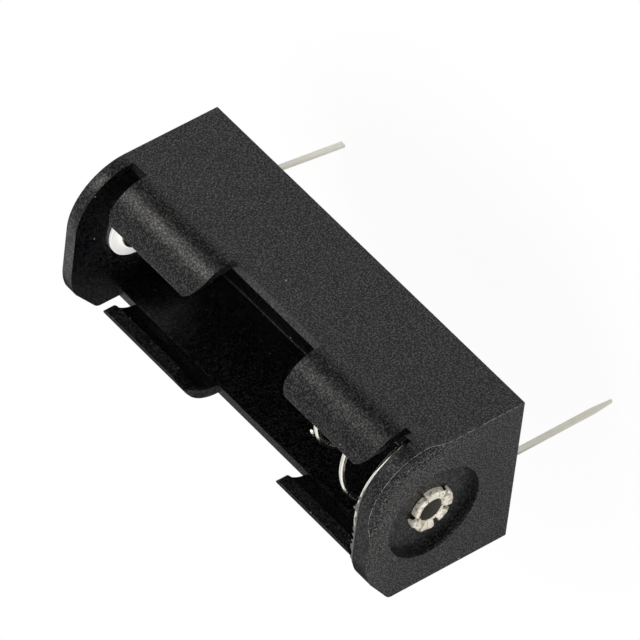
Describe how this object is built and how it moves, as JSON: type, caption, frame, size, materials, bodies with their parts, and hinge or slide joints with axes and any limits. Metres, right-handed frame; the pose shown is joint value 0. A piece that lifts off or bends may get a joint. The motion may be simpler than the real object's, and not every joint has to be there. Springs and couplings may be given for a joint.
{
  "type": "n battery holder",
  "caption": "Black moulded trough for a small cylindrical cell, with gripping fingers, a coil spring, riveted eyelet contacts and solder pins for a circuit board.",
  "frame": {"origin": "centre of the housing's flat underside, which seats on the circuit board", "axes": "+X along the cell towards the spring end, +Y across the trough, +Z away from the board, out of the mouth"},
  "size_m": [0.037, 0.0146, 0.0253],
  "materials": {
    "black_plastic": "fine matt moulded grain, black",
    "eyelet_metal": "bright warm nickel plate",
    "terminal_metal": "satin tin plate",
    "spring_wire": "bright nickel-plated wire"
  },
  "bodies": {
    "root": {"housing": "black_plastic", "positive_eyelet": "eyelet_metal", "positive_terminal": "terminal_metal", "spring_eyelet": "eyelet_metal", "spring_terminal": "terminal_metal", "contact_spring": "spring_wire"}
  },
  "joints": []
}
